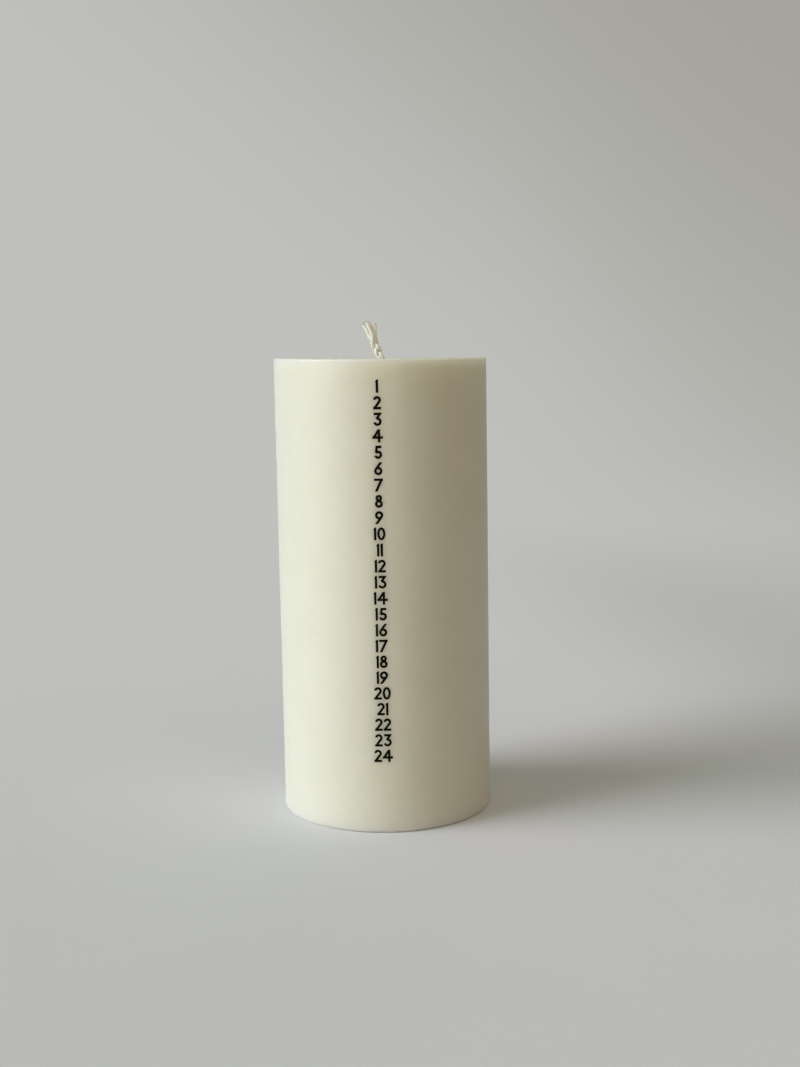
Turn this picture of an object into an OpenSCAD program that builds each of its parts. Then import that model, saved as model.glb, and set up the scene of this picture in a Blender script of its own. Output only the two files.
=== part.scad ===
// Calendar candle: a wax pillar with the day numbers 1 to 24 down its front, burnt down a number a day.
// Millimetres, +Z up. The origin is the centre of the foot, and the numbers face -Y.
// The wax is one casting round a plaited cotton wick, which a tinplate tab holds at the foot.
// The numbers are films of ink, each curved to the wax that it lies on.

/* [Pillar] */
// Diameter of the wax
pillar_d = 70; // [60:0.5:100]
// Height of the wax, from the table to the flat top
pillar_h = 150; // [135:1:200]
// Radius of the round on the top edge
top_edge_r = 0.6; // [0.2:0.1:2]
// Radius of the round on the edge of the foot
foot_edge_r = 1; // [0.3:0.1:3]
// Height of the collar of wax that climbs the wick
collar_h = 0.5; // [0.4:0.1:2]
// Thickness of the collar at its lip
collar_lip = 0.15; // [0.1:0.05:0.6]
// Space between the wick and the wax round it
wick_gap = 0.1; // [0.05:0.05:0.4]

/* [Wick] */
// Width of the plait, from edge to edge
wick_w = 2.6; // [2.4:0.1:4]
// Thickness of the plait, from front to back
wick_t = 2.3; // [2.2:0.1:3]
// Diameter of one strand in the plait
strand_d = 0.82; // [0.4:0.02:0.84]
// Width of the loose end on the right, where its yarns have opened
right_tip_w = 2.5; // [0.8:0.1:2.8]
// Width of each of the other two loose ends
tip_w = 1.3; // [0.8:0.05:1.4]
// Thickness of a loose end, from front to back
tip_t = 0.9; // [0.6:0.05:1]
// Length in which a strand swings from one edge to the other and back
plait_pitch = 9; // [8:0.5:14]
// Length of wick that stands out of the collar
wick_out = 12.7; // [8:0.1:20]
// Lean of that length away from upright
wick_lean = 23; // [5:0.5:40]
// Length over which the wick bends from upright to its lean
bend_run = 1.2; // [1:0.1:6]
// Length at the tip over which the plait has come loose
loose_run = 8; // [4:0.5:9]
// Length, within that, in which the two strands on the left come to lie side by side
pair_run = 3.8; // [3.6:0.1:4]
// How far the loose strand on the right has spread from the middle of the wick
right_spread = 3.05; // [2.85:0.05:4]
// How far the loose strand on the left has spread from the middle of the wick
left_spread = 0.55; // [0.5:0.05:2]
// How far the loose middle strand lies to the right of the middle of the wick
middle_spread = 0.55; // [0.4:0.05:0.65]
// How far the left strand lies behind the middle of the wick at the tip, and the middle one before it
tip_apart = 0.7; // [0.6:0.05:0.9]

/* [Wick tab] */
// Diameter of the tab's disc
tab_d = 20; // [17:0.5:30]
// Thickness of the tinplate
tab_t = 0.3; // [0.2:0.05:0.6]
// How far the disc stays above the table
tab_inset = 0.3; // [0.2:0.1:1]
// Height of the tab's neck above the disc
neck_h = 6; // [3:0.5:10]
// Space between the neck and the wick in it
neck_gap = 0.1; // [0.05:0.05:0.4]
// How deep the jaws of the crimping tool pressed each side of the neck
crimp_depth = 0.12; // [0.05:0.01:0.15]
// Height of the crimped band
crimp_h = 2.4; // [1:0.2:3]
// Diameter of the stiffening bead on the disc
bead_d = 13; // [9:0.5:13]
// Width of the bead
bead_w = 1.6; // [1.4:0.1:2]
// Space between the tab and the wax
tab_gap = 0.1; // [0.05:0.05:0.3]

/* [Day numbers] */
// Last day of the calendar
days = 24; // [12:1:24]
// Height of a digit
digit_h = 3.85; // [3.2:0.05:4.2]
// Width of the stroke that the digits are drawn with
stroke = 0.56; // [0.3:0.02:0.65]
// Space between the two digits of a number
digit_gap = 0.45; // [0.3:0.05:0.9]
// Height from the middle of the number 1 to the top of the wax
first_drop = 7.85; // [5:0.05:20]
// Height from the foot to the middle of the last number
last_rise = 25.5; // [10:0.1:30]
// Thickness of the ink
ink_t = 0.06; // [0.04:0.01:0.2]
// Space between the ink and the wax under it
ink_gap = 0.01; // [0.01:0.01:0.05]

/* [Hidden] */
$fn = 96;
through = 1; // how far a cut runs past the face that it opens

// Plait: each strand swings from edge to edge once in a pitch, and from front to back twice
swing = (wick_w - strand_d) / 2;
cross_over = (wick_t - strand_d) / 2;
// Farthest that the middle of a strand comes from the middle of the wick
farthest = swing < 2 * cross_over ? (swing * swing / cross_over + 4 * cross_over) / 4 : swing;
plait_r = farthest + strand_d / 2;
strand_sides = 6;
rings_per_pitch = 12;
free_rings = 28;
wick_foot = tab_inset + strand_d / 2;
bend_start = pillar_h + collar_h;
bend_r = bend_run / (wick_lean * PI / 180);
wick_tip = bend_start + wick_out;
loose_start = wick_tip - loose_run;
settle_run = loose_run / 8; // length in which the swing of the plait dies away
leaving = 1.6; // power by which the strand on the right leaves the other two, slowly at first
held_rings = ceil((bend_start - wick_foot) / plait_pitch * rings_per_pitch);
// Where each loose strand ends, across the wick and from front to back: right, left and middle
tip_spots = [[right_spread, 0], [-left_spread, tip_apart], [middle_spread, -tip_apart]];
tip_widths = [right_tip_w, tip_w, tip_w];

// Pillar
pillar_r = pillar_d / 2;
channel_r = plait_r + wick_gap;
collar_r = channel_r + collar_lip;

// Wick tab
neck_bore_r = plait_r + neck_gap;
neck_r = neck_bore_r + tab_t;
disc_top = tab_inset + tab_t;
neck_top = disc_top + neck_h;
crimp_z = (disc_top + neck_top) / 2;

// Day numbers
day_pitch = (pillar_h - first_drop - last_rise) / (days - 1);
ink_r = pillar_r + ink_gap;
fan_steps = 4; // corners of the wedge that an arc is cut with
sunk = 0.02; // how far a stroke that leaves an arc lies inside the arc's rim
bowl_r = 0.31 * digit_h; // the round digits' bowls
oval_end_r = 0.24 * digit_h; // top and bottom of the 0
ring_8_low_r = 0.295 * digit_h;
ring_8_high_r = 0.24 * digit_h;
flag_1 = 0.035 * digit_h; // how far the 1's flag stands out of its stem
round_2_w = 0.58 * digit_h;
round_3_w = 0.63 * digit_h;
width_4 = 0.8 * digit_h;
round_5_w = 0.61 * digit_h;
width_7 = 0.66 * digit_h;
digit_widths = [2 * bowl_r, flag_1 + stroke, round_2_w, round_3_w, width_4,
  round_5_w, 2 * bowl_r, width_7, 2 * ring_8_low_r, 2 * bowl_r];

function figures(n) = n < 10 ? [n] : [floor(n / 10), n % 10];
function two_figures(n) = n < 10 ? str("0", n) : str(n);
STRANDS = ["wick_strand_right", "wick_strand_left", "wick_strand_middle"];
NUMBERS = [for (n = [1:days]) str("number_", two_figures(n))];

// Wax

// The corner outside a round of radius r, with the round's centre at the origin
module corner(r) {
  difference() {
    square(r + through);
    circle(r);
  }
}

module pillar_section() {
  difference() {
    square([pillar_r, pillar_h]);
    translate([pillar_r - top_edge_r, pillar_h - top_edge_r]) corner(top_edge_r);
    translate([pillar_r - foot_edge_r, foot_edge_r]) mirror([0, 1]) corner(foot_edge_r);
  }
}

// Wax drawn up the wick in a hollow curve
module collar_section() {
  difference() {
    square([collar_r + collar_h, collar_h]);
    translate([collar_r + collar_h, collar_h]) circle(collar_h);
  }
}

// The disc, neck and bead of the tab, grown by gap on every side
module tab_recess_section(gap) {
  translate([0, -through]) square([tab_d / 2 + gap, disc_top + gap + through]);
  square([neck_r + gap, neck_top + gap]);
  translate([bead_d / 2, tab_inset]) circle(bead_w / 2 + gap);
}

module wax_pillar() {
  color([0.95, 0.94, 0.87])
    rotate_extrude()
      difference() {
        union() {
          pillar_section();
          translate([0, pillar_h]) collar_section();
        }
        tab_recess_section(tab_gap);
        square([channel_r, bend_start + through]);
      }
}

// Wick tab

// Tinplate pressed into a disc with a neck, and a hollow bead round the disc
module tab_section() {
  difference() {
    union() {
      translate([neck_bore_r, tab_inset]) square([tab_d / 2 - neck_bore_r, tab_t]);
      translate([neck_bore_r, tab_inset]) square([tab_t, tab_t + neck_h]);
      translate([bead_d / 2, tab_inset]) circle(bead_w / 2);
    }
    translate([bead_d / 2, tab_inset]) circle(bead_w / 2 - tab_t);
    square([tab_d, tab_inset]);
    translate([0, tab_inset - bead_w]) square([tab_d, bead_w]);
  }
}

module wick_tab() {
  color([0.75, 0.76, 0.77])
    difference() {
      rotate_extrude() tab_section();
      for (turn = [0, 180])
        rotate(turn)
          translate([-neck_r, neck_r - crimp_depth, crimp_z - crimp_h / 2])
            cube([2 * neck_r, through, crimp_h]);
    }
}

// Wick. A place on it is given by s, the length along its middle line, which starts at the table.

function unit(v) = v / norm(v);
function lean_at(s) = wick_lean * min(max((s - bend_start) / bend_run, 0), 1);
function middle_at(s) =
  let (lean = lean_at(s), straight = max(s - bend_start - bend_run, 0))
  [-bend_r * (1 - cos(lean)) - straight * sin(lean), 0,
    min(s, bend_start) + bend_r * sin(lean) + straight * cos(lean)];

// The plait ends at the turn where one strand lies on the right and two on the left
function plait_left(s) =
  s < loose_start ? loose_start - s + settle_run : settle_run * exp((loose_start - s) / settle_run);
function turn_at(s, k) = 90 + 120 * k - 360 * plait_left(s) / plait_pitch;
function plaited(s, k) = [swing * sin(turn_at(s, k)), cross_over * sin(2 * turn_at(s, k))];

// How far a strand has come from its place in the plait, 0, to its place at the tip, 1
function looseness(s, k) =
  let (past = max(s - loose_start, 0), t = min(past / pair_run, 1))
  k == 0 ? pow(past / loose_run, leaving) : t * t * (3 - 2 * t);
function offset_at(s, k) =
  let (loose = looseness(s, k))
  (1 - loose) * plaited(s, k) + loose * tip_spots[k];
function strand_at(s, k) =
  let (across = offset_at(s, k), lean = lean_at(s))
  middle_at(s) + [across.x * cos(lean), across.y, across.x * sin(lean)];

// Across a strand and from its front to its back, it opens towards its end
function opened(s, k, tip) = strand_d + (tip - strand_d) * looseness(s, k);

// The wick was cut level, so a strand that has spread to the low side is the longer one
function strand_end(k) = wick_tip - tip_spots[k].x * tan(wick_lean);
function stops(from, to, count) = [for (i = [1:count]) from + (to - from) * i / count];

function ring(s, k) =
  let (
    ahead = unit(strand_at(s + strand_d / 4, k) - strand_at(s - strand_d / 4, k)),
    right = opened(s, k, tip_widths[k]) / 2 * unit(cross([0, 1, 0], ahead)),
    back = opened(s, k, tip_t) / 2 * unit(cross(ahead, right)))
  [for (i = [0:strand_sides - 1])
    let (a = 360 * i / strand_sides) strand_at(s, k) + cos(a) * right + sin(a) * back];

module strand(k) {
  held = stops(wick_foot, bend_start, held_rings);
  free = stops(bend_start, strand_end(k), free_rings);
  places = concat([wick_foot], held, free);
  points = [for (s = places) each ring(s, k)];
  top = (len(places) - 1) * strand_sides;
  foot_face = [for (i = [1:strand_sides - 2]) [0, i, i + 1]];
  tip_face = [for (i = [1:strand_sides - 2]) [top, top + i + 1, top + i]];
  walls = [for (i = [0:len(places) - 2], j = [0:strand_sides - 1])
    let (a = i * strand_sides + j, b = i * strand_sides + (j + 1) % strand_sides)
    each [[a, a + strand_sides, b], [b, a + strand_sides, b + strand_sides]]];
  color([0.93, 0.92, 0.85]) polyhedron(points, concat(foot_face, walls, tip_face));
}

// Digits. Each is drawn with strokes of one width, up from the origin at the left of its foot.

// A stroke from p to q with square ends, the second of them carried on by over
module bar(p, q, over = 0) {
  along = unit(q - p);
  side = [-along.y, along.x] * stroke / 2;
  end = q + over * along;
  polygon([p + side, p - side, end - side, end + side]);
}

module hoop(centre, r) {
  translate(centre)
    difference() {
      circle(r);
      circle(r - stroke);
    }
}

// The part of a hoop between two angles
module bow(centre, r, from, to) {
  step = (to - from) / fan_steps;
  rim = [for (i = [0:fan_steps]) 2 * r * [cos(from + i * step), sin(from + i * step)]];
  intersection() {
    hoop(centre, r);
    translate(centre) polygon(concat([[0, 0]], rim));
  }
}

// An oval of four arcs: a to each side, b up and down, and e the radius of its ends
module oval(a, b, e) {
  side_r = ((b - e) * (b - e) + a * a - e * e) / (2 * (a - e));
  join = side_r * (b - e) / (side_r - e);
  intersection() {
    translate([a - side_r, 0]) circle(side_r);
    translate([side_r - a, 0]) circle(side_r);
    square([2 * a, 2 * join], center = true);
  }
  for (end = [-1, 1])
    translate([0, end * (b - e)]) circle(e);
}

// What is drawn, cut off level at the head and foot of a digit
module trimmed(w) {
  intersection() {
    square([w, digit_h]);
    children();
  }
}

// The point at an angle on a circle, and the angle at which a stroke to p leaves a hoop
function on_circle(centre, r, angle) = centre + r * [cos(angle), sin(angle)];
function touch(centre, r, p) =
  atan2(p.y - centre.y, p.x - centre.x) + acos((r - stroke / 2 - sunk) / norm(p - centre));

// A stroke to p that leaves a hoop along its rim, sunk in the rim by a hair, so that the two are one
module tail(centre, r, p, over) {
  middle_r = r - stroke / 2;
  start = on_circle(centre, middle_r - sunk, touch(centre, r, p));
  bar(start - sqrt(2 * sunk * middle_r) * unit(p - start), p, over);
}

module digit_0() {
  translate([bowl_r, digit_h / 2])
    difference() {
      oval(bowl_r, digit_h / 2, oval_end_r);
      oval(bowl_r - stroke, digit_h / 2 - stroke, oval_end_r - stroke);
    }
}

module digit_1() {
  stem = flag_1 + stroke;
  flag_top = 0.88 * digit_h;
  flag_foot = 0.82 * digit_h;
  polygon([[flag_1, 0], [stem, 0], [stem, digit_h], [stem / 2, digit_h],
    [0, flag_top], [0, flag_foot], [flag_1, flag_foot]]);
}

module digit_2() {
  r = round_2_w / 2;
  centre = [r, digit_h - r];
  heel = [0.6 * stroke, stroke / 2];
  bow(centre, r, touch(centre, r, heel), 168);
  trimmed(round_2_w) tail(centre, r, heel, stroke);
  square([round_2_w, stroke]);
}

module digit_3() {
  r = round_3_w / 2;
  centre = [r, r];
  waist_angle = 102;
  head = [round_3_w - 0.75 * stroke, digit_h - stroke / 2];
  bow(centre, r, -158, waist_angle);
  trimmed(round_3_w) bar(on_circle(centre, r - stroke / 2, waist_angle), head, stroke);
  translate([0.06 * digit_h, digit_h - stroke]) square([head.x - 0.06 * digit_h, stroke]);
}

module digit_4() {
  stem_x = 0.64 * width_4;
  arm_y = 0.36 * digit_h;
  translate([stem_x - stroke / 2, 0]) square([stroke, digit_h]);
  translate([0, arm_y - stroke / 2]) square([width_4, stroke]);
  intersection() {
    translate([0, arm_y - stroke / 2]) square([stem_x + stroke / 2, digit_h - arm_y + stroke / 2]);
    bar([0, arm_y - stroke], [stem_x, digit_h], stroke);
  }
}

module digit_5() {
  r = round_5_w / 2;
  centre = [r, r];
  shoulder_angle = 128;
  shoulder = on_circle(centre, r - stroke / 2, shoulder_angle);
  head = [shoulder.x + 0.05 * digit_h, digit_h - stroke / 2];
  bow(centre, r, -155, shoulder_angle + 8);
  trimmed(round_5_w) bar(shoulder, head, stroke);
  translate([head.x, digit_h - stroke]) square([0.93 * round_5_w - head.x, stroke]);
}

module digit_6() {
  centre = [bowl_r, bowl_r];
  hoop(centre, bowl_r);
  trimmed(2 * bowl_r) tail(centre, bowl_r, [0.52 * digit_h, digit_h], stroke);
}

module digit_7() {
  head = [width_7 - 0.6 * stroke, digit_h - stroke / 2];
  heel = [0.22 * width_7, 0];
  translate([0, digit_h - stroke]) square([width_7, stroke]);
  trimmed(width_7) bar(head, heel, stroke);
}

module digit_8() {
  hoop([ring_8_low_r, ring_8_low_r], ring_8_low_r);
  hoop([ring_8_low_r, digit_h - ring_8_high_r], ring_8_high_r);
}

module digit_9() {
  translate([2 * bowl_r, digit_h]) rotate(180) digit_6();
}

module digit(d) {
  if (d == 0) digit_0();
  if (d == 1) digit_1();
  if (d == 2) digit_2();
  if (d == 3) digit_3();
  if (d == 4) digit_4();
  if (d == 5) digit_5();
  if (d == 6) digit_6();
  if (d == 7) digit_7();
  if (d == 8) digit_8();
  if (d == 9) digit_9();
}

// A number's digits side by side, with the middle of the row at the origin
module figure_row(n) {
  row = figures(n);
  first_w = digit_widths[row[0]];
  row_w = len(row) == 1 ? first_w : first_w + digit_gap + digit_widths[row[1]];
  translate([-row_w / 2, -digit_h / 2]) {
    digit(row[0]);
    if (len(row) == 2) translate([first_w + digit_gap, 0]) digit(row[1]);
  }
}

// A film of ink on the front of the wax
module number(n) {
  height = pillar_h - first_drop - (n - 1) * day_pitch;
  color([0.08, 0.08, 0.09])
    translate([0, 0, height])
      intersection() {
        difference() {
          cylinder(h = 2 * digit_h, r = ink_r + ink_t, center = true);
          cylinder(h = 3 * digit_h, r = ink_r, center = true);
        }
        rotate([90, 0, 0]) linear_extrude(ink_r + ink_t + through) figure_row(n);
      }
}

wax_pillar();
wick_tab();
for (k = [0:len(STRANDS) - 1])
  strand(k);
for (n = [1:days])
  number(n);
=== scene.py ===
import math

import bmesh
import bpy
import numpy as np
from mathutils import Matrix, Vector


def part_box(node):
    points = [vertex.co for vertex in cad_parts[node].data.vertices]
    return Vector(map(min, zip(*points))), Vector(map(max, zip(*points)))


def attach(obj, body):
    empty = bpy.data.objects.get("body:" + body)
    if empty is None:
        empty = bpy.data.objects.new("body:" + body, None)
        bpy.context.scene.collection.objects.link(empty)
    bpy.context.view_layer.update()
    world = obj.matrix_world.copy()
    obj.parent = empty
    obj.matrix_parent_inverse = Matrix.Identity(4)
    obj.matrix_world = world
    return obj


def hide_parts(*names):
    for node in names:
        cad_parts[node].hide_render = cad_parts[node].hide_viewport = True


# A calendar candle: a pillar of ivory wax, a plaited cotton wick and the day numbers 1 to 24.
# Sizes are in millimetres, and MM turns them into Blender's metres.

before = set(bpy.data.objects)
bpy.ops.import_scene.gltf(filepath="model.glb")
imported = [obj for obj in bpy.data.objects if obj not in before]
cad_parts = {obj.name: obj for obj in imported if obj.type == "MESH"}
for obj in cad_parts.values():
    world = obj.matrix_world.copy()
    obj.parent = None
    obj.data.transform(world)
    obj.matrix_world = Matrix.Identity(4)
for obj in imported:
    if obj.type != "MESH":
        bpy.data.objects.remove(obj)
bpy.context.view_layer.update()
MM = 0.001
TINY = 1e-9  # stands in for a length of nothing where something is divided by it

# Sizes of the wax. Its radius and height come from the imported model.
_, wax_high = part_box("wax_pillar")
PILLAR_R = wax_high.x / MM
COLLAR_H = 0.5
COLLAR_LIP = 0.15
PILLAR_H = wax_high.z / MM - COLLAR_H
TOP_EDGE_R = 0.6
FOOT_EDGE_R = 1.0
WICK_GAP = 0.1

# Sizes of the wick
WICK_W = 2.6
WICK_T = 2.3
STRAND_D = 0.82
PLAIT_PITCH = 9.0
WICK_OUT = 12.7  # its length outside the wax
WICK_LEAN = math.radians(23)
BEND_RUN = 1.2  # the length over which it bends
LOOSE_RUN = 8.0  # the length over which the right strand leaves the plait
PAIR_RUN = 3.8  # the length over which the two on the left leave it
LEAVING = 1.6  # above 1, the right strand leaves slowly at first

# Sizes at the tips: widths, thickness, and how far each lies from the middle of the wick
RIGHT_TIP_W = 2.5
TIP_W = 1.3
TIP_T = 0.9
RIGHT_SPREAD = 3.05
LEFT_SPREAD = 0.55
MIDDLE_SPREAD = 0.55
TIP_APART = 0.7

# Sizes of the wick tab that the foot of the wax is cut for
TAB_R = 10.0
TAB_T = 0.3
TAB_INSET = 0.3
NECK_H = 6.0
NECK_GAP = 0.1
BEAD_R = 6.5
BEAD_W = 1.6
TAB_GAP = 0.1

# The plait: each strand swings from edge to edge once in a pitch, and from front to back twice
SWING = (WICK_W - STRAND_D) / 2
CROSS_OVER = (WICK_T - STRAND_D) / 2
FARTHEST = (SWING ** 2 / CROSS_OVER + 4 * CROSS_OVER) / 4  # of a strand from the wick's middle
PLAIT_R = FARTHEST + STRAND_D / 2
CHANNEL_R = PLAIT_R + WICK_GAP
COLLAR_R = CHANNEL_R + COLLAR_LIP
NECK_R = PLAIT_R + NECK_GAP + TAB_T


# Meshes

def link_object(name, mesh, smooth):
    """An object of the mesh, in the scene, with all its faces smooth or all flat."""
    mesh.polygons.foreach_set("use_smooth", [smooth] * len(mesh.polygons))
    made = bpy.data.objects.new(name, mesh)
    bpy.context.scene.collection.objects.link(made)
    return made


def make_object(name, points, faces):
    """A smooth mesh object from points in millimetres."""
    mesh = bpy.data.meshes.new(name)
    mesh.from_pydata([tuple(p) for p in np.asarray(points) * MM], [], faces)
    mesh.update()
    return link_object(name, mesh, smooth=True)


def soft_waves(rng, count, shortest, longest):
    """Random plane waves in space, as rows of direction times wave number, and their phases."""
    way = rng.normal(size=(count, 3))
    way /= np.linalg.norm(way, axis=1, keepdims=True)
    length = shortest * (longest / shortest) ** rng.random(count)
    return way * (2 * math.pi / length)[:, None], rng.random(count) * 2 * math.pi


def wave_height(points, waves):
    """From 0 to 1, the smooth random relief at each point."""
    way, phase = waves
    total = np.sin(points @ way.T + phase).sum(axis=-1)
    return 0.5 + 0.5 * np.tanh(total / math.sqrt(len(phase)))


def turned(outline, angles):
    """Points and faces of the outline turned about the axis, open at its two ends."""
    ring = len(angles)
    points = np.zeros((len(outline), ring, 3))
    points[..., 0] = outline[:, :1] * np.sin(angles)
    points[..., 1] = -outline[:, :1] * np.cos(angles)
    points[..., 2] = outline[:, 1:]
    faces = []
    for row in range(len(outline) - 1):
        for col in range(ring):
            after = (col + 1) % ring
            faces.append((row * ring + col, (row + 1) * ring + col,
                          (row + 1) * ring + after, row * ring + after))
    return points, faces


# The outline of the wax

# Pinholes left by air in the casting: angle from the front, height, radius and depth
PINHOLES = [
    (-36.3, 130.5, 0.22, 0.16),
    (74.0, 96.0, 0.2, 0.14),
    (161.0, 41.0, 0.26, 0.2),
    (-118.0, 64.0, 0.2, 0.14),
]
PIN_REACH = 0.7  # how far round a pinhole the mesh is finer
PIN_STEP = 0.09
MERGED = 0.4  # rings closer than this share of the fine step become one
HUB_R = 0.12  # the flat spot on the axis where a turned surface closes
MOUND_ROUND = 0.25  # the round on top of the collar
CROWN_FALL = 0.02  # how far the collar's crown falls to that round
TOP_RINGS = 30
TOP_CROWDING = 1.3  # above 1, the rings of the top lie closer together near the wick
SIDE_RINGS = 100

# The recess for the tab: its worn lip, and the soft corner at its top
LIP_OUT = 0.15
LIP_UP = 0.12
CORNER_IN = 0.1
CORNER_DOWN = 0.08
BEAD_RISE = 0.75  # height of the bead's groove, as a share of half its width

# The low dome that closes the wick's channel: how far its parts lie under the top face
DOME_FOOT = 2.2
DOME_SHOULDER = 1.6
DOME_TOP = 1.4
DOME_SHARE = 0.6  # width of the dome at its shoulder, as a share of the channel's


def finer(values, spots, reach, step):
    """The sorted values, with close ones added round each spot."""
    extra = [spot + np.arange(-reach, reach + step / 2, step) for spot in spots]
    joined = np.unique(np.round(np.concatenate([values, *extra]), decimals=6))
    keep = np.concatenate([[True], np.diff(joined) > step * MERGED])
    return joined[keep]


def arc(centre_r, centre_z, radius, start, stop, steps):
    """Points of a round in the outline's plane, angles in degrees."""
    turn = np.radians(np.linspace(start, stop, steps + 1))
    return [(centre_r + radius * math.cos(t), centre_z + radius * math.sin(t)) for t in turn]


def line(start, stop, steps):
    """Points along a straight stretch of the outline, without its start."""
    share = np.linspace(0, 1, steps + 1)[1:, None]
    return [tuple(p) for p in np.array(start) + share * (np.array(stop) - np.array(start))]


def top_outline():
    """From the axis over the collar and the top face, and round the top edge."""
    crown = PILLAR_H + COLLAR_H
    round_r = COLLAR_R - MOUND_ROUND
    round_z = crown - CROWN_FALL
    outline = [(HUB_R, crown)]
    outline += line(outline[-1], (round_r, round_z), steps=6)
    outline += arc(round_r, round_z - MOUND_ROUND, MOUND_ROUND, start=70, stop=25, steps=3)
    flat_from = COLLAR_R + COLLAR_H
    flat_to = PILLAR_R - TOP_EDGE_R
    outline += arc(flat_from, crown, COLLAR_H, start=215, stop=270, steps=8)
    for share in np.linspace(0, 1, TOP_RINGS)[1:]:
        outline.append((flat_from + (flat_to - flat_from) * share ** TOP_CROWDING, PILLAR_H))
    return outline + arc(flat_to, PILLAR_H - TOP_EDGE_R, TOP_EDGE_R, start=90, stop=0, steps=7)[1:]


def side_outline():
    """Down the side, with closer rings at the pinholes, and round the edge of the foot."""
    heights = np.linspace(PILLAR_H - TOP_EDGE_R, FOOT_EDGE_R, SIDE_RINGS)[1:-1]
    heights = finer(heights, [hole[1] for hole in PINHOLES], PIN_REACH, PIN_STEP)
    foot_edge = arc(PILLAR_R - FOOT_EDGE_R, FOOT_EDGE_R, FOOT_EDGE_R, start=0, stop=-90, steps=8)
    return [(PILLAR_R, z) for z in heights[::-1]] + foot_edge


def foot_outline():
    """In under the foot, through the recess of the tab and up the wick's channel to its dome."""
    recess_r = TAB_R + TAB_GAP
    recess_top = TAB_INSET + TAB_T + TAB_GAP
    groove_half = BEAD_W / 2 + TAB_GAP
    neck_r = NECK_R + TAB_GAP
    neck_top = recess_top + NECK_H
    outline = line((PILLAR_R - FOOT_EDGE_R, 0), (recess_r + LIP_OUT, 0), steps=8)
    outline += [(recess_r, LIP_UP), (recess_r, recess_top - CORNER_DOWN)]
    outline.append((recess_r - CORNER_IN, recess_top))
    outline += line(outline[-1], (BEAD_R + groove_half, recess_top), steps=2)
    groove = arc(BEAD_R, recess_top, groove_half, start=0, stop=180, steps=8)[1:]
    outline += [(r, recess_top + (z - recess_top) * BEAD_RISE) for r, z in groove]
    outline += line(outline[-1], (neck_r, recess_top), steps=2)
    outline += line(outline[-1], (neck_r, neck_top), steps=4)
    outline.append((CHANNEL_R, neck_top))
    outline += line(outline[-1], (CHANNEL_R, PILLAR_H - DOME_FOOT), steps=12)
    outline.append((CHANNEL_R * DOME_SHARE, PILLAR_H - DOME_SHOULDER))
    return outline + [(HUB_R, PILLAR_H - DOME_TOP)]


# The casting

WAX_SEED = 24
COLUMN_STEP = 2.0  # degrees between the columns of the mesh

# Its side and top lie a little inside the true pillar. Only the collar and the slanting top
# stand above it in places.
BROAD_WAVES = (24, 22, 60)  # how many, the shortest and the longest
FINE_WAVES = (40, 3.5, 9)
BROAD_RELIEF = 0.05
FINE_RELIEF = 0.012
SIDE_BLEND = 0.5  # the width of the edge over which the side's relief begins
FOOT_BLEND = 2.0
STRIP_HALF = 5.0  # half the width of the strip of numbers, which sinks least
STRIP_BLEND = 12.0
STRIP_RELIEF = 0.12  # share of the relief that is left there
PIN_STEEPNESS = 3  # the power in the pinholes' outline
DISH_DEPTH = 0.28
DISH_R = 17.0
RINGS_DEPTH = 0.018  # of the faint rings that cooling leaves
RINGS_WAVE = 1.15  # radians of their ripple in a millimetre
RINGS_WAVER = 2.0  # radians by which the broad relief shifts them
RINGS_R = 30.0  # where they end
TOP_BLEND = 3.0  # the width of the edge over which the top keeps its height
CROWN_R = 0.5  # the crown of the collar, which the dish leaves alone
ON_TOP = 0.05  # what lies no deeper than this belongs to the top
TOP_SLANT = 0.83  # how much higher the top stands on the left than on the right
SLANT_RUN = 5.0  # the stretch below the top edge over which the side rises with it

# The collar's uneven height, as shares of its own: a lean, three lobes and a general sinking.
# The turns say where round the wick they lie, in radians.
COLLAR_TILT = 0.2
TILT_TURN = 1.9
COLLAR_LOBES = 0.12
LOBES_TURN = 0.6
COLLAR_LOSS = 0.15


def sink_side(points, outline, angles, relief):
    """Sinks the side, least round the numbers so that they lie on it, and makes the pinholes."""
    radius, height = outline[:, :1], outline[:, 1:]
    blend_from = PILLAR_R - TOP_EDGE_R - SIDE_BLEND
    on_side = np.clip((radius - blend_from) / SIDE_BLEND, 0, 1)
    from_front = np.abs(angles)[None, :] * PILLAR_R
    by_numbers = np.clip((from_front - STRIP_HALF) / STRIP_BLEND, STRIP_RELIEF, 1)
    inwards = relief * by_numbers * on_side * np.clip(height / FOOT_BLEND, 0, 1)
    for turn, up, size, depth in PINHOLES:
        away = (angles[None, :] - math.radians(turn)) * PILLAR_R
        gap = np.hypot(away, height - up)
        inwards = inwards + on_side * depth * np.exp(-(gap / size) ** PIN_STEEPNESS)
    points[..., :2] *= (1 - inwards / np.maximum(radius, 1))[..., None]


def dish_top(points, outline, broad, relief):
    """Sinks the top towards the wick, as shrinking wax does, and returns how deep the dish is."""
    radius, height = outline[:, :1], outline[:, 1:]
    on_top = (height > PILLAR_H - ON_TOP) & (radius > CROWN_R)
    dish = DISH_DEPTH * np.exp(-(radius / DISH_R) ** 2)
    ripple = 0.5 + 0.5 * np.cos(radius * RINGS_WAVE + RINGS_WAVER * broad)
    rings = RINGS_DEPTH * ripple * np.clip(1 - radius / RINGS_R, 0, 1)
    edge = np.clip((PILLAR_R - radius) / TOP_BLEND, 0, 1)
    points[..., 2] -= np.where(on_top, edge * (dish + rings + relief), 0)
    return dish


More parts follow.
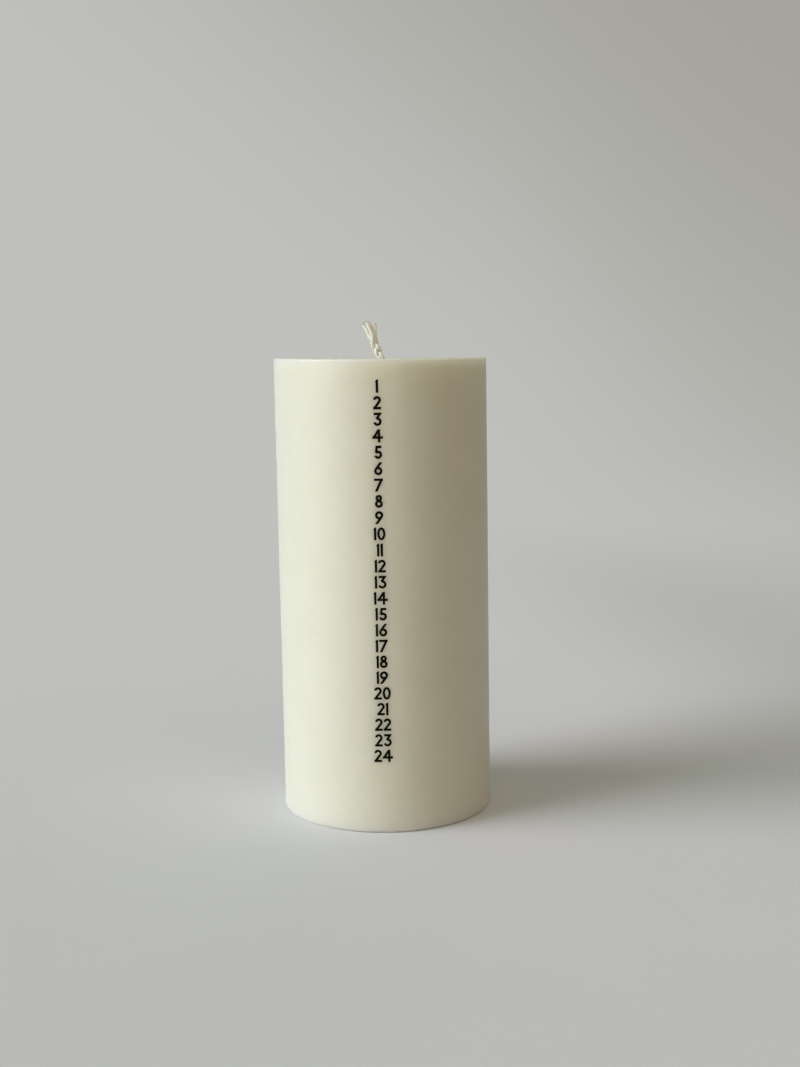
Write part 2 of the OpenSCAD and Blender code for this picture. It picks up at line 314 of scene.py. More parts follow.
def shape_collar(points, outline, angles, dish):
    """Makes the wax that climbs the wick stand higher on some sides than on others."""
    radius, height = outline[:, :1], outline[:, 1:]
    rise = points[..., 2] - PILLAR_H
    on_collar = (radius < COLLAR_R + COLLAR_H) & (height > PILLAR_H - COLLAR_H)
    tilt = COLLAR_TILT * np.sin(angles - TILT_TURN)
    lobes = COLLAR_LOBES * np.sin(3 * angles + LOBES_TURN)
    uneven = np.maximum(rise + dish, 0) * (tilt + lobes - COLLAR_LOSS)
    points[..., 2] += np.where(on_collar, uneven, 0)


def slant_top(points, outline):
    """Lifts the left of the top, which was poured a little out of level."""
    below = PILLAR_H - TOP_EDGE_R - outline[:, 1:]
    lifted = np.clip(1 - below / SLANT_RUN, 0, 1)
    points[..., 2] += TOP_SLANT * lifted * (1 - points[..., 0] / PILLAR_R) / 2


def make_wax():
    """The pillar, with the soft unevenness of a casting."""
    rng = np.random.default_rng(WAX_SEED)
    angles = np.radians(np.arange(-180, 180, COLUMN_STEP))
    spots = [math.radians(hole[0]) for hole in PINHOLES]
    angles = finer(angles, spots, PIN_REACH / PILLAR_R, PIN_STEP / PILLAR_R)
    outline = np.array(top_outline() + side_outline() + foot_outline())
    points, faces = turned(outline, angles)

    broad = wave_height(points, soft_waves(rng, *BROAD_WAVES))
    fine = wave_height(points, soft_waves(rng, *FINE_WAVES))
    relief = BROAD_RELIEF * broad + FINE_RELIEF * fine
    sink_side(points, outline, angles, relief)
    dish = dish_top(points, outline, broad, relief)
    shape_collar(points, outline, angles, dish)
    slant_top(points, outline)

    ring = len(angles)
    last = (len(outline) - 1) * ring
    faces.append(tuple(range(ring)))
    faces.append(tuple(reversed(range(last, last + ring))))
    return make_object("wax_cast", points.reshape(-1, 3), faces)


# The run of the wick

WICK_FOOT = TAB_INSET + STRAND_D / 2
BEND_START = PILLAR_H + COLLAR_H
BEND_R = BEND_RUN / WICK_LEAN
WICK_TIP = BEND_START + WICK_OUT
LOOSE_START = WICK_TIP - LOOSE_RUN
SETTLE_RUN = LOOSE_RUN / 8  # the length over which the plait itself runs out
TIP_SPOTS = [(RIGHT_SPREAD, 0), (-LEFT_SPREAD, TIP_APART), (MIDDLE_SPREAD, -TIP_APART)]
TIP_WIDTHS = [RIGHT_TIP_W, TIP_W, TIP_W]
STRANDS = ["wick_strand_right", "wick_strand_left", "wick_strand_middle"]
RIGHT = 0  # the place of the right strand in these lists
# Where in its swing each strand stands, in degrees, when it leaves the plait
LAST_TURNS = [90, 210, 330]


def lean_at(s):
    """How far the wick leans at length s along it."""
    return WICK_LEAN * np.clip((s - BEND_START) / BEND_RUN, 0, 1)


def looseness(s, k):
    """How far strand k has come from its place in the plait, 0, to its place at the tip, 1."""
    past = np.maximum(s - LOOSE_START, 0)
    if k == RIGHT:
        return (past / LOOSE_RUN) ** LEAVING
    t = np.minimum(past / PAIR_RUN, 1)
    return t * t * (3 - 2 * t)


def plait_left(s):
    """The length of plait from s on: it runs out softly where the strands come loose."""
    settled = SETTLE_RUN * np.exp(np.minimum(LOOSE_START - s, 0) / SETTLE_RUN)
    return np.where(s < LOOSE_START, LOOSE_START - s + SETTLE_RUN, settled)


def strand_at(s, k):
    """The middle of strand k at length s along the wick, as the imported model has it."""
    lean = lean_at(s)
    straight = np.maximum(s - BEND_START - BEND_RUN, 0)
    turn = math.radians(LAST_TURNS[k]) - 2 * math.pi * plait_left(s) / PLAIT_PITCH
    loose = looseness(s, k)
    across = (1 - loose) * SWING * np.sin(turn) + loose * TIP_SPOTS[k][0]
    over = (1 - loose) * CROSS_OVER * np.sin(2 * turn) + loose * TIP_SPOTS[k][1]
    x = -BEND_R * (1 - np.cos(lean)) - straight * np.sin(lean) + across * np.cos(lean)
    z = (np.minimum(s, BEND_START) + BEND_R * np.sin(lean) + straight * np.cos(lean)
         + across * np.sin(lean))
    return np.stack([x, over, z], axis=-1)


# Tubes

# A direction that nothing in the wick runs along
ASKEW = np.array([0.13, 1.0, 0.0])


def unit(rows):
    """Each row of an array, made one long."""
    return rows / np.maximum(np.linalg.norm(rows, axis=-1, keepdims=True), TINY)


def sweep(path, across, back, half_w, half_t, sides, turn=0.0):
    """Points and faces of a tube with an oval section along a path, closed at its ends."""
    ring = turn + np.arange(sides) * 2 * math.pi / sides
    wide = half_w[:, None, None] * np.cos(ring)[None, :, None]
    thick = half_t[:, None, None] * np.sin(ring)[None, :, None]
    points = path[:, None, :] + across[:, None, :] * wide + back[:, None, :] * thick
    faces = []
    for row in range(len(path) - 1):
        for col in range(sides):
            after = (col + 1) % sides
            faces.append((row * sides + col, row * sides + after,
                          (row + 1) * sides + after, (row + 1) * sides + col))
    last = (len(path) - 1) * sides
    faces.append(tuple(reversed(range(sides))))
    faces.append(tuple(range(last, last + sides)))
    return points.reshape(-1, 3), faces


def tube(path, radii, sides, turn=0.0):
    """Points and faces of a round tube along a path."""
    along = unit(np.gradient(path, axis=0))
    across = unit(np.cross(ASKEW, along))
    return sweep(path, across, np.cross(along, across), radii, radii, sides, turn)


def join_meshes(parts):
    """One list of points and faces from several."""
    points, faces, start = [], [], 0
    for some, polygons in parts:
        points.append(some)
        faces += [tuple(i + start for i in polygon) for polygon in polygons]
        start += len(some)
    return np.concatenate(points), faces


# The strands

# Each is a core of cotton with yarns laid round it. Outside the wax it swells until it touches
# its neighbours, and towards its tip it opens into an oval.
STRAND_SEED = 100
HIDDEN_TO = PILLAR_H - 3  # up to here the wax hides the wick, and its rings lie far apart
HIDDEN_STEP = 0.75
SHOWN_STEP = 0.16
LAST_STEP = 0.05  # the least step before the end
CORE_SIDES = 16
CORE_INSET = 0.035  # how far it lies inside the strand's outline
FULLER = 1.3  # how much thicker a strand is outside the wax
SWELL_RUN = 2.0  # the length under the top face over which it gets thicker
TIP_CUT = 0.4  # how much shorter than the longest a yarn may be cut
# How far the yarns stop short of the level cut: the pair on the left was cut square
CUT_BACK = [0.0, 0.75, 0.05]

YARNS = 10
YARN_R = 0.135
YARN_SIDES = 7
YARN_SUNK = 0.9  # how far a yarn lies inside the strand's outline, in yarn radii
YARN_TWIST = 6.5  # the length in which it winds once round its strand
TIP_UNTWIST = 0.5  # share of its winding that is undone at the tip
STRAND_OFFSET = 0.3  # how far one strand's yarns lie behind the next one's, in yarns
YARN_WANDER = np.array([0.05, 0.05, 0.0])  # how far a loose yarn strays at its tip
YARN_UNEVEN = 0.06  # share by which it is thicker and thinner in turns
YARN_BEATS = 5.1  # radians of that in a millimetre
YARN_END = [0.88, 0.5]  # how much the last two rings of a yarn shrink

FIBRE_POINTS = 6
FIBRE_SIDES = 3
FIBRE_CURL = [1.5, 0.5, 0.175]  # how much its heading, rise and bend vary
FIBRE_TAPER = 0.6
TIP_FIBRE_R = 0.014
TIP_FIBRES = 5  # at the end of each yarn
TUFT_FIBRES = [8, 50, 45]  # between the yarns' ends of each strand
ROOT_SCATTER = 0.5  # in yarn radii
ROOT_DEPTH = 0.15

FUZZ_FIBRES = 26  # along each strand
FUZZ_R = 0.012
FUZZ_ROOT = 0.8  # how far from a yarn's middle they start, in yarn radii
FUZZ_STRAY = 0.5
FUZZ_LEAN = np.array([-0.2, 0, 0.6])
FUZZ_SHORTEST = 0.15
FUZZ_LONGEST = 0.7
FUZZ_ABOVE_WAX = 0.6
FUZZ_BELOW_TIP = 0.4


def strand_lengths(end):
    """Where along the wick the rings of a strand lie: far apart in the wax, close outside."""
    hidden = np.arange(WICK_FOOT, HIDDEN_TO, HIDDEN_STEP)
    shown = np.arange(HIDDEN_TO, end - LAST_STEP, SHOWN_STEP)
    return np.concatenate([hidden, shown, [end]])


def strand_frame(s, k):
    """The strand's middle, and the ways along it, across it and from its front to its back."""
    step = STRAND_D / 4
    along = unit(strand_at(s + step, k) - strand_at(s - step, k))
    across = unit(np.cross(np.array([0.0, 1.0, 0.0]), along))
    return strand_at(s, k), along, across, np.cross(along, across)


def strand_halves(s, k):
    """Half the width and half the thickness of the strand."""
    swell = np.clip((s - PILLAR_H + SWELL_RUN) / SWELL_RUN, 0, 1)
    held = STRAND_D * (1 + (FULLER - 1) * swell)
    opened = looseness(s, k)
    return (held + (TIP_WIDTHS[k] - held) * opened) / 2, (held + (TIP_T - held) * opened) / 2


def strand_end(k):
    """The length along the wick at which the longest yarns of the strand are cut."""
    return WICK_TIP - TIP_SPOTS[k][0] * math.tan(WICK_LEAN) - CUT_BACK[k]


def yarn_turn(s, k, place):
    """The angle at which a yarn lies on its strand: the twist dies away towards the tip."""
    past = s - LOOSE_START
    unwound = np.clip(past / LOOSE_RUN, 0, 1) ** 2
    wound = past / YARN_TWIST * (1 - TIP_UNTWIST * unwound)
    return 2 * math.pi * (wound + (place + STRAND_OFFSET * k) / YARNS)


def yarn_path(s, k, place, wander):
    """A yarn's middle: it winds round its strand, and comes away from it towards the tip."""
    middle, _, across, back = strand_frame(s, k)
    half_w, half_t = strand_halves(s, k)
    turn = yarn_turn(s, k, place)
    sunk = YARN_R * YARN_SUNK
    wide = (half_w - sunk) * np.cos(turn)
    thick = (half_t - sunk) * np.sin(turn)
    drift = np.clip((s - LOOSE_START) / LOOSE_RUN, 0, 1)[:, None] ** 3 * wander[None, :]
    return middle + across * wide[:, None] + back * thick[:, None] + drift


def fibre(rng, start, way, length, thick):
    """A loose fibre of cotton: a thin bent tube that tapers."""
    heading, rise, bend = rng.normal(size=3) * FIBRE_CURL
    curl = np.array([math.cos(heading), math.sin(heading), rise])
    t = np.linspace(0, 1, FIBRE_POINTS)[:, None]
    path = start + length * (way * t + curl * bend * t ** 2)
    return tube(path, thick * (1 - FIBRE_TAPER * t[:, 0]), FIBRE_SIDES)


def frayed(rng, tip, way_up, count, stray, shortest, longest):
    """Fibres that stand out of a cut end."""
    parts = []
    for _ in range(count):
        way = way_up + rng.normal(size=3) * stray
        start = tip + rng.normal(size=3) * YARN_R * ROOT_SCATTER - way_up * ROOT_DEPTH
        length = shortest + (longest - shortest) * rng.random() ** 2
        parts.append(fibre(rng, start, way, length, TIP_FIBRE_R))
    return parts


def core(k, end):
    """The cotton inside a strand."""
    s = strand_lengths(end)
    middle, _, across, back = strand_frame(s, k)
    half_w, half_t = strand_halves(s, k)
    return sweep(middle, across, back, half_w - CORE_INSET, half_t - CORE_INSET, CORE_SIDES)


def yarn(rng, k, place, end):
    """One yarn of a strand, thicker where the strand opens wide, with fibres at its cut end."""
    wander = rng.normal(size=3) * YARN_WANDER
    s = strand_lengths(end - TIP_CUT * rng.random())
    path = yarn_path(s, k, place, wander)
    fatter = math.sqrt(TIP_WIDTHS[k] / TIP_W)
    uneven = 1 + YARN_UNEVEN * np.sin(s * YARN_BEATS + place)
    radii = YARN_R * uneven * (1 + (fatter - 1) * looseness(s, k))
    radii[-2:] *= YARN_END
    way_up = unit(path[-1] - path[-4])
    ends = frayed(rng, path[-1], way_up, TIP_FIBRES, stray=0.35, shortest=0.2, longest=0.7)
    return [tube(path, radii, YARN_SIDES, turn=place), *ends]


def tuft(rng, k, end):
    """The longer fibres that stand out of the whole cut end of a strand."""
    s = np.array([end])
    middle, along, across, back = [rows[0] for rows in strand_frame(s, k)]
    half_w, half_t = [halves[0] for halves in strand_halves(s, k)]
    parts = []
    for _ in range(TUFT_FIBRES[k]):
        turn = rng.random() * 2 * math.pi
        reach = math.sqrt(rng.random())
        aside = across * half_w * math.cos(turn) + back * half_t * math.sin(turn)
        parts += frayed(rng, middle + aside * reach, along, count=1,
                        stray=0.13, shortest=0.6, longest=2.7)
    return parts


def fuzz(rng, k, end):
    """Short fibres that stand off the yarns all along the part that shows."""
    low = BEND_START + FUZZ_ABOVE_WAX
    high = end - FUZZ_BELOW_TIP
    parts = []
    for _ in range(FUZZ_FIBRES):
        s = np.array([low + rng.random() * (high - low)])
        near = yarn_path(s, k, int(rng.integers(0, YARNS)), np.zeros(3))[0]
        out = unit(near - strand_at(s, k)[0])
        way = out + rng.normal(size=3) * FUZZ_STRAY + FUZZ_LEAN
        length = FUZZ_SHORTEST + (FUZZ_LONGEST - FUZZ_SHORTEST) * rng.random() ** 2
        parts.append(fibre(rng, near + out * YARN_R * FUZZ_ROOT, way, length, FUZZ_R))
    return parts


def make_strand(k):
    """One strand of the plait: its core, yarns, cut end and fuzz."""
    rng = np.random.default_rng(STRAND_SEED + k)
    end = strand_end(k)
    parts = [core(k, end - TIP_CUT)]
    for place in range(YARNS):
        parts += yarn(rng, k, place, end)
    parts += tuft(rng, k, end - TIP_CUT)
    parts += fuzz(rng, k, end)
    points, faces = join_meshes(parts)
    return make_object(STRANDS[k] + "_yarns", points, faces)


# The numbers

INK_SPREAD = 0.085  # how far ink runs out past the drawn outline of a digit
SINGLE_SPREAD = 0.105  # the same for the nine single digits, which are printed bolder
LONGEST_CORNER = 2.5  # limit of a sharp corner, in spreads
WELD = 0.0001  # points that lie this close are one
WALL_SLANT = 0.3  # the most that a wall of the ink faces outwards
ONE_WALL = 0.05  # walls that face nearly alike, down to this share, count as one


def corner_step(vert, spread):
    """How far a point of a number moves when each wall of ink that meets there moves by spread."""
    outward = Vector((vert.co.x, vert.co.y, 0)).normalized()
    sideways = Vector((-outward.y, outward.x, 0))
    walls = [f.normal for f in vert.link_faces if abs(f.normal.dot(outward)) < WALL_SLANT]
    if not walls:
        return Vector((0, 0, 0))
    facing = np.array([(wall.dot(sideways), wall.z) for wall in walls])
    step = np.linalg.lstsq(facing, np.full(len(walls), spread), rcond=ONE_WALL)[0]
    reach = np.linalg.norm(step)
    step *= min(1, LONGEST_CORNER * spread / max(reach, TINY)) * MM
    return sideways * float(step[0]) + Vector((0, 0, float(step[1])))


def bolder(node, name, spread):
    """A copy of a number whose outline stands further out on the wax, as printed ink spreads."""
    work = bmesh.new()
    work.from_mesh(node.data)
    work.transform(node.matrix_world)
    bmesh.ops.remove_doubles(work, verts=work.verts, dist=WELD * MM)
    work.normal_update()
    steps = [corner_step(vert, spread) for vert in work.verts]
    for vert, step in zip(work.verts, steps):
        vert.co += step
    mesh = bpy.data.meshes.new(name)
    work.to_mesh(mesh)
    work.free()
    return link_object(name, mesh, smooth=False)


# Materials

class Finish:
    """A material with a Principled shader, and short ways to make the nodes that feed it."""

    def __init__(self, name, **settings):
        """Each setting is an input of the shader, with _ in place of a space."""
        self.material = bpy.data.materials.new(name)
        self.material.use_nodes = True
        self.tree = self.material.node_tree
        self.shader = self.tree.nodes["Principled BSDF"]
        self.place = self.tree.nodes.new("ShaderNodeTexCoord").outputs["Object"]
        self.dress(**settings)

    def feed(self, socket, value):
        """Sets an input, or links it where the value is another node's output."""
        if isinstance(value, bpy.types.NodeSocket):
            self.tree.links.new(value, socket)
        else:
            socket.default_value = value

    def feed_named(self, node, inputs):
        """Feeds the inputs of a node by name, with _ in place of a space."""
        for socket, value in inputs.items():
            self.feed(node.inputs[socket.replace("_", " ")], value)

    def dress(self, **inputs):
        """Feeds the shader."""
        self.feed_named(self.shader, inputs)

    def node(self, kind, **inputs):
        """A new node of that kind."""
        made = self.tree.nodes.new(kind)
        self.feed_named(made, inputs)
        return made

    def result(self, kind, operation, *values):
        """The number that a math node makes of the values."""
        made = self.tree.nodes.new(kind)
        made.operation = operation
        for socket, value in zip(made.inputs, values):
            self.feed(socket, value)
        return made.outputs["Value"]

    def stretched(self, x=1.0, y=1.0, z=1.0):
        """The place on the object, in millimetres, scaled along each axis."""
        made = self.node("ShaderNodeMapping", Vector=self.place, Scale=(x / MM, y / MM, z / MM))
        return made.outputs["Vector"]

    def noise(self, size, detail=3.0, rough=0.5, place=None):
        """Cloudy noise from 0 to 1, with lumps about size millimetres across."""
        where = place or self.stretched()
        made = self.node("ShaderNodeTexNoise", Vector=where, Scale=1 / size, Detail=detail,
                         Roughness=rough)
        return made.outputs["Fac"]

    def along(self, way):
        """How far the place lies along a direction, in millimetres."""
        return self.result("ShaderNodeVectorMath", "DOT_PRODUCT", self.stretched(), way)

    def from_origin(self):
        """How far the place lies from the origin, in millimetres."""
        return self.result("ShaderNodeVectorMath", "LENGTH", self.stretched())

    def spread(self, value, low, high, to_low=0.0, to_high=1.0):
        """The value's range from low to high, mapped onto another range."""
        made = self.node("ShaderNodeMapRange", Value=value, From_Min=low, From_Max=high,
                         To_Min=to_low, To_Max=to_high)
        made.interpolation_type = "SMOOTHSTEP"
        return made.outputs["Result"]

    def mixed(self, share, first, second):
        """A colour between two. A share over 1 counts as 1."""
        made = self.tree.nodes.new("ShaderNodeMix")
        made.data_type = "RGBA"
        # The node's inputs for numbers and vectors have the same names as those for colours
        colours = [i for i in made.inputs if i.type == "RGBA"]
        self.feed(made.inputs[0], share)
        self.feed(colours[0], first)
        self.feed(colours[1], second)
        return [o for o in made.outputs if o.type == "RGBA"][0]

    def bump(self, height, depth, under=None):
        """A bump of that depth in millimetres, over another where one is given."""
        made = self.node("ShaderNodeBump", Height=height, Distance=depth * MM)
        if under is not None:
            self.feed(made.inputs["Normal"], under)
        return made.outputs["Normal"]


NOISE_RANGE = (0.3, 0.7)  # cloudy noise seldom leaves it
BLACK = (0, 0, 0, 1)
WAX_DEEP = (0.842, 0.852, 0.72, 1)
WAX_PALE = (0.858, 0.868, 0.738, 1)
WAX_CRYSTAL = (0.872, 0.88, 0.762, 1)
WAX_DEPTHS = (6.5, 6.2, 5.5)  # how far red, green and blue light goes into the wax
COTTON_SHADE = (0.92, 0.93, 0.86, 1)
COTTON_PALE = (0.97, 0.975, 0.93, 1)
COTTON_WAXED = (0.88, 0.88, 0.76, 1)
INK_BLACK = (0.0008, 0.0008, 0.0008, 1)
INK_WORN = (0.003, 0.003, 0.003, 1)
TIN_BRIGHT = (0.72, 0.73, 0.74, 1)
TIN_STAINED = (0.6, 0.6, 0.59, 1)


def wax_finish():
    """Ivory wax that light goes deep into, with soft clouds, faint crystals and a fine skin."""
    made = Finish("ivory_wax", IOR=1.44, Subsurface_Weight=1.0, Subsurface_Scale=MM,
                  Subsurface_Radius=WAX_DEPTHS)
    clouds = made.spread(made.noise(size=14, detail=4), *NOISE_RANGE)
    crystals = made.spread(made.noise(size=3.2, rough=0.6), low=0.42, high=0.62, to_high=0.35)
    dulled = made.noise(size=2.4, detail=4)
    pores = made.spread(made.noise(size=1.1, detail=2), low=0.35, high=0.65)
    skin = made.bump(made.noise(size=5.5, detail=2), depth=0.05)
    body = made.mixed(clouds, WAX_DEEP, WAX_PALE)
    made.dress(
        Base_Color=made.mixed(crystals, body, WAX_CRYSTAL),
        Roughness=made.spread(dulled, *NOISE_RANGE, to_low=0.34, to_high=0.48),
        Normal=made.bump(pores, depth=0.006, under=skin))
    return made.material


def cotton_finish():
    """Bleached cotton soaked in wax: fine fibres, yellower patches and a wet gloss over all."""
    made = Finish("waxed_cotton", IOR=1.46, Sheen_Weight=0.1, Sheen_Roughness=0.4,
                  Coat_Weight=1.0, Coat_Roughness=0.2, Coat_IOR=1.5)
    fibres = made.noise(size=0.07, rough=0.6, place=made.stretched(z=0.18))
    patches = made.noise(size=0.8, detail=2)
    soaked = made.spread(patches, low=0.45, high=0.75, to_high=0.5)
    clean = made.mixed(fibres, COTTON_SHADE, COTTON_PALE)
    made.dress(
        Base_Color=made.mixed(soaked, clean, COTTON_WAXED),
        Roughness=made.spread(patches, *NOISE_RANGE, to_low=0.4, to_high=0.75),
        Normal=made.bump(fibres, depth=0.025))
    return made.material


def ink_finish():
    """Black ink with a fine grain."""
    made = Finish("black_ink", IOR=1.5, Specular_IOR_Level=0.1)
    grain = made.noise(size=0.25, rough=0.6)
    worn = made.spread(grain, low=0.35, high=0.75)
    made.dress(
        Base_Color=made.mixed(worn, INK_BLACK, INK_WORN),
        Roughness=made.spread(grain, *NOISE_RANGE, to_low=0.38, to_high=0.58),
        Normal=made.bump(grain, depth=0.008))
    return made.material


def tinplate_finish():
    """Rolled tinplate: a grain along one way, and dull stains."""
    made = Finish("bright_tinplate", Metallic=1.0)
    grain = made.noise(size=0.12, rough=0.6, place=made.stretched(x=0.05))
    stains = made.spread(made.noise(size=2.2, detail=4), low=0.4, high=0.7)
    made.dress(
        Base_Color=made.mixed(stains, TIN_BRIGHT, TIN_STAINED),
        Roughness=made.spread(grain, *NOISE_RANGE, to_low=0.22, to_high=0.42),
        Normal=made.bump(grain, depth=0.006))
    return made.material


# The stage

FLOOR_R = 1300
WALL_R = 1900
WALL_H = 2200
STAGE_HUB_R = 10
FLOOR_RINGS = 20
COVE_STEPS = 18
STAGE_STEP = 3.0  # degrees between the columns of the stage

# A range says from where to where, along a direction or outwards from the origin
FLOOR_GREYS = [(0.745, 0.755, 0.789, 1), (0.755, 0.765, 0.799, 1)]
# Painted light: the floor is paler behind the candle, a pool of light painted into its grey.
FLOOR_PAINTED_LIGHT = (0.825, 0.835, 0.87, 1)
PAINTED_LIGHT_WAY = (0, 1, 0)
PAINTED_LIGHT_RANGE = (-40, 200)
# Painted shadow: the floor is darker on the candle's right, where its soft shadow runs on.
FLOOR_PAINTED_SHADOW = (0.66, 0.668, 0.69, 1)
PAINTED_SHADOW_WAY = (1, 0.15, 0)
PAINTED_SHADOW_RANGE = (80, 260)
FADE_RANGE = (220, 800)  # where the floor fades into the backdrop

# Share of its light that the floor gives back to the candle, close to the foot and elsewhere.
# What is over 1 counts as 1, so that right at the foot the floor gives back all of it.
THROWN_BACK_CLOSE = 1.25
THROWN_BACK = 0.5
CLOSE_RANGE = (34.5, 38.5)

BACKDROP_GREY = (0.525, 0.53, 0.51, 1)
# Painted shade: the backdrop darkens to this grey towards the upper right and towards the right.
BACKDROP_PAINTED_SHADE = (0.375, 0.37, 0.335, 1)
DARKER_WAY = (0.52, 0, 0.6)
DARKER_RANGE = (0, 720)
ASIDE_WAY = (1, 0, 0)
ASIDE_RANGE = (100, 550)
ASIDE_SHARE = 0.24


def backdrop_colour(finish):
    """The backdrop's grey, with painted shade that darkens it towards the upper right and towards
    the right.
    """
    darker = finish.spread(finish.along(DARKER_WAY), *DARKER_RANGE)
    grey = finish.mixed(darker, BACKDROP_GREY, BACKDROP_PAINTED_SHADE)
    aside = finish.spread(finish.along(ASIDE_WAY), *ASIDE_RANGE, to_high=ASIDE_SHARE)
    return finish.mixed(aside, grey, BACKDROP_PAINTED_SHADE)


def seen_glow(finish, share):
    """Makes the stage show its backdrop colour to the camera and in gloss, as far as share says."""
    rays = finish.node("ShaderNodeLightPath").outputs
    seen = rays["Is Camera Ray"]
    for name in ("Is Glossy Ray", "Is Transmission Ray"):
        seen = finish.result("ShaderNodeMath", "MAXIMUM", seen, rays[name])
    glow = finish.node("ShaderNodeEmission", Color=backdrop_colour(finish), Strength=1.0)
    mix = finish.node("ShaderNodeMixShader")
    finish.feed(mix.inputs[0], finish.result("ShaderNodeMath", "MULTIPLY", seen, share))
    finish.feed(mix.inputs[1], finish.shader.outputs[0])
    finish.feed(mix.inputs[2], glow.outputs[0])
    finish.feed(finish.tree.nodes["Material Output"].inputs["Surface"], mix.outputs[0])


def floor_colour(finish):
    """The floor's grey, with painted light that makes it paler behind the candle and painted shadow
    that makes it darker on its right.
    """
    tint = finish.mixed(finish.spread(finish.noise(size=90), *NOISE_RANGE), *FLOOR_GREYS)
    # Painted light: paler behind the candle
    behind = finish.spread(finish.along(PAINTED_LIGHT_WAY), *PAINTED_LIGHT_RANGE)
    tint = finish.mixed(behind, tint, FLOOR_PAINTED_LIGHT)
    # Painted shadow: darker on the candle's right
    right = finish.spread(finish.along(PAINTED_SHADOW_WAY), *PAINTED_SHADOW_RANGE)
    return finish.mixed(right, tint, FLOOR_PAINTED_SHADOW)


def stage_object(name, outline, angles, filled=False):
    """The outline turned about the axis, facing inwards, with its first ring filled in or not."""
    points, faces = turned(np.array(outline), angles)
    faces = [tuple(reversed(face)) for face in faces]
    if filled:
        faces.append(tuple(range(len(angles))))
    return make_object(name, points.reshape(-1, 3), faces)


def make_floor(angles):
    """A pale floor, which gives the candle part of its light back and fades into the backdrop."""
    rings = [(r, 0.0) for r in np.linspace(STAGE_HUB_R, FLOOR_R, FLOOR_RINGS)]
    floor = stage_object("stage_floor", rings, angles, filled=True)
    finish = Finish("pale_floor", Roughness=0.75)
    tint = floor_colour(finish)
    reach = finish.from_origin()
    given = finish.spread(reach, *CLOSE_RANGE, to_low=THROWN_BACK_CLOSE, to_high=THROWN_BACK)
    dimmed = finish.mixed(given, BLACK, tint)
    bounced = finish.node("ShaderNodeLightPath").outputs["Is Diffuse Ray"]
    finish.dress(
        Base_Color=finish.mixed(bounced, tint, dimmed),
        Normal=finish.bump(finish.noise(size=1.2), depth=0.01))
    seen_glow(finish, finish.spread(reach, *FADE_RANGE))
    floor.data.materials.append(finish.material)
    return floor


def make_wall(angles):
    """A wall all the way round, which neither lights the candle nor shades it."""
    turn = np.radians(np.linspace(0, 90, COVE_STEPS + 1))
    cove = WALL_R - FLOOR_R
    outline = [(FLOOR_R + cove * math.sin(t), cove * (1 - math.cos(t))) for t in turn]
    outline.append((WALL_R, WALL_H))
    wall = stage_object("stage_wall", outline, angles)
    finish = Finish("pale_wall", Roughness=0.8)
    finish.dress(Base_Color=backdrop_colour(finish))
    seen_glow(finish, 1.0)
    wall.data.materials.append(finish.material)
    wall.visible_diffuse = False
    wall.visible_shadow = False
    return wall


def make_stage():
    """The floor and the wall that it fades into."""
    angles = np.radians(np.arange(-180, 180, STAGE_STEP))
    floor = make_floor(angles)
    wall = make_wall(angles)


# Light

# The lamps: azimuth, elevation, spread, strength and colour. A broad window on the left is
# two lamps, and the room throws warm light from the front and from the back right.
LAMPS = {
    "window_high": (-75, 28, 40, 1.84, (1.054, 1.0, 1.065)),
    "window_low": (-60, 16, 40, 0.835, (0.835, 1.0, 0.991)),
    "room_front": (15, 15, 80, 0.453, (1.636, 1.0, 0.666)),
    "room_back": (150, 15, 80, 0.387, (1.636, 1.0, 0.957)),
}
HORIZON_FILL = BLACK
ZENITH_FILL = (0.246, 0.325, 0.254, 1)


def sun_light(name, azimuth, elevation, spread, strength, colour):
    """A soft far lamp, spread degrees across. Azimuth 0 is the front, and 90 the right."""
    data = bpy.data.lights.new(name, "SUN")
    data.energy = strength
    data.angle = math.radians(spread)
    data.color = colour
    lamp = bpy.data.objects.new(name, data)
    turn, rise = math.radians(azimuth), math.radians(elevation)
    level = math.cos(rise)
    towards = Vector((math.sin(turn) * level, -math.cos(turn) * level, math.sin(rise)))
    lamp.rotation_mode = "QUATERNION"
    lamp.rotation_quaternion = towards.to_track_quat("Z", "Y")
    lamp.location = towards
    bpy.context.scene.collection.objects.link(lamp)


def make_light():
    """The lamps, and an even light from above."""
    for name, settings in LAMPS.items():
        sun_light(name, *settings)
    world = bpy.data.worlds.new("room")
    bpy.context.scene.world = world
    world.use_nodes = True
    nodes, links = world.node_tree.nodes, world.node_tree.links
    way = nodes.new("ShaderNodeSeparateXYZ")
    links.new(nodes.new("ShaderNodeTexCoord").outputs["Generated"], way.inputs[0])
    fill = nodes.new("ShaderNodeValToRGB")
    fill.color_ramp.elements[0].color = HORIZON_FILL
    fill.color_ramp.elements[1].color = ZENITH_FILL
    links.new(way.outputs["Z"], fill.inputs[0])
    links.new(fill.outputs[0], nodes["Background"].inputs["Color"])


# The camera

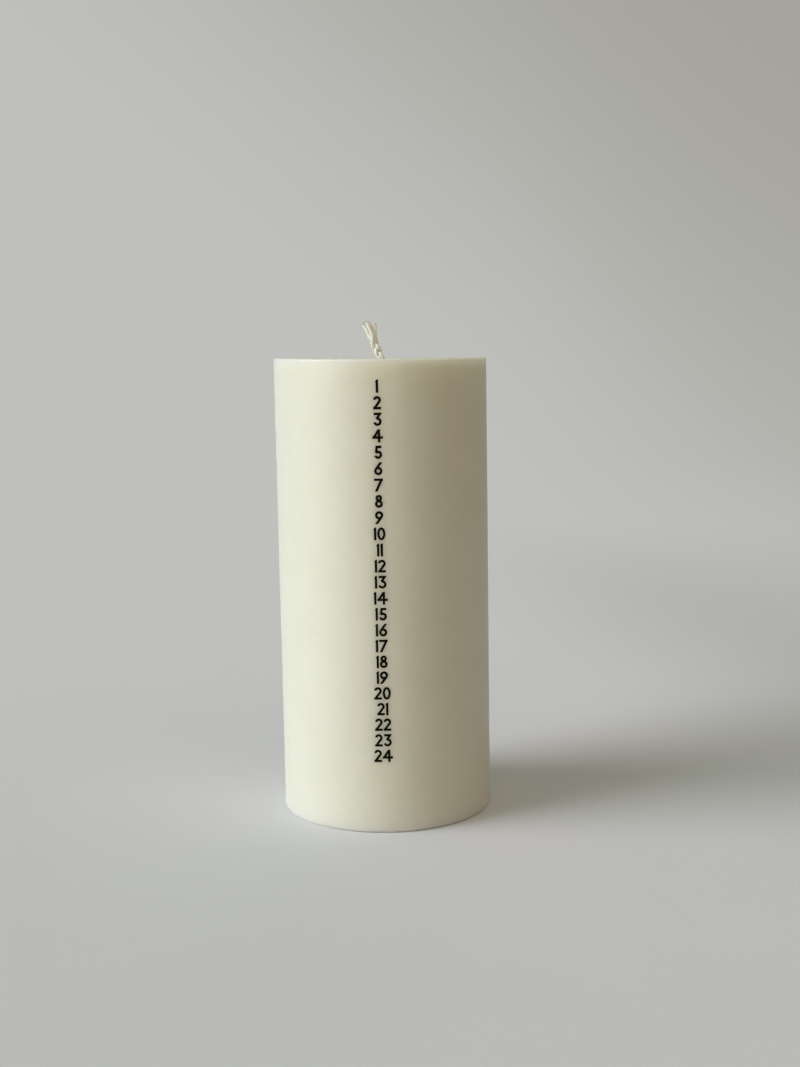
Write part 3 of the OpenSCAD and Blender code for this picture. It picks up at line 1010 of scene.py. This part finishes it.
# The photograph's view, as fitted to the candle's outline
PHOTO_H_PX = 1067
FOCAL_PX = 1420
SENSOR = 36.0
CAM_PITCH = math.radians(7.56)
CAM_ROLL = math.radians(-0.978)
CAM_AZIMUTH = math.radians(1.91)
CAM_YAW = math.radians(-0.683)
CAM_DISTANCE = 472.0
CAM_EYE = 154.5
NEAREST_SEEN = 10
FARTHEST_SEEN = 20000


def make_camera():
    """The camera, in front of the candle and a little above its top."""
    data = bpy.data.cameras.new("photo_view")
    data.sensor_width = SENSOR
    data.lens = SENSOR * FOCAL_PX / PHOTO_H_PX
    data.clip_start = NEAREST_SEEN * MM
    data.clip_end = FARTHEST_SEEN * MM
    camera = bpy.data.objects.new("photo_view", data)
    heading = CAM_AZIMUTH + CAM_YAW
    ahead = Vector((-math.sin(heading) * math.cos(CAM_PITCH),
                    math.cos(heading) * math.cos(CAM_PITCH), -math.sin(CAM_PITCH)))
    right = Vector((math.cos(heading), math.sin(heading), 0))
    up = right.cross(ahead)
    level_right = math.cos(CAM_ROLL) * right + math.sin(CAM_ROLL) * up
    level_up = -math.sin(CAM_ROLL) * right + math.cos(CAM_ROLL) * up
    turn = Matrix((level_right, level_up, -ahead)).transposed()
    eye = Vector((CAM_DISTANCE * math.sin(CAM_AZIMUTH),
                  -CAM_DISTANCE * math.cos(CAM_AZIMUTH), CAM_EYE)) * MM
    camera.matrix_world = Matrix.Translation(eye) @ turn.to_4x4()
    bpy.context.scene.collection.objects.link(camera)
    bpy.context.scene.camera = camera


# The pieces

def set_material(piece, material):
    """Gives a new piece its material."""
    piece.data.materials.clear()
    piece.data.materials.append(material)


def assign(node, material):
    """Gives a CAD node another material."""
    for slot in node.material_slots:
        slot.material = material


make_camera()
make_stage()
make_light()
bpy.context.scene.view_settings.view_transform = "Standard"

wax = make_wax()
set_material(wax, wax_finish())
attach(wax, "root")
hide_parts("wax_pillar")

cotton = cotton_finish()
for k, name in enumerate(STRANDS):
    strand = make_strand(k)
    set_material(strand, cotton)
    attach(strand, "root")
    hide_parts(name)

ink = ink_finish()
for name, node in sorted(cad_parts.items()):
    if name.startswith("number_"):
        spread = SINGLE_SPREAD if name < "number_10" else INK_SPREAD
        number = bolder(node, name + "_ink", spread)
        set_material(number, ink)
        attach(number, "root")
        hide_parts(name)
assign(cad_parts["wick_tab"], tinplate_finish())
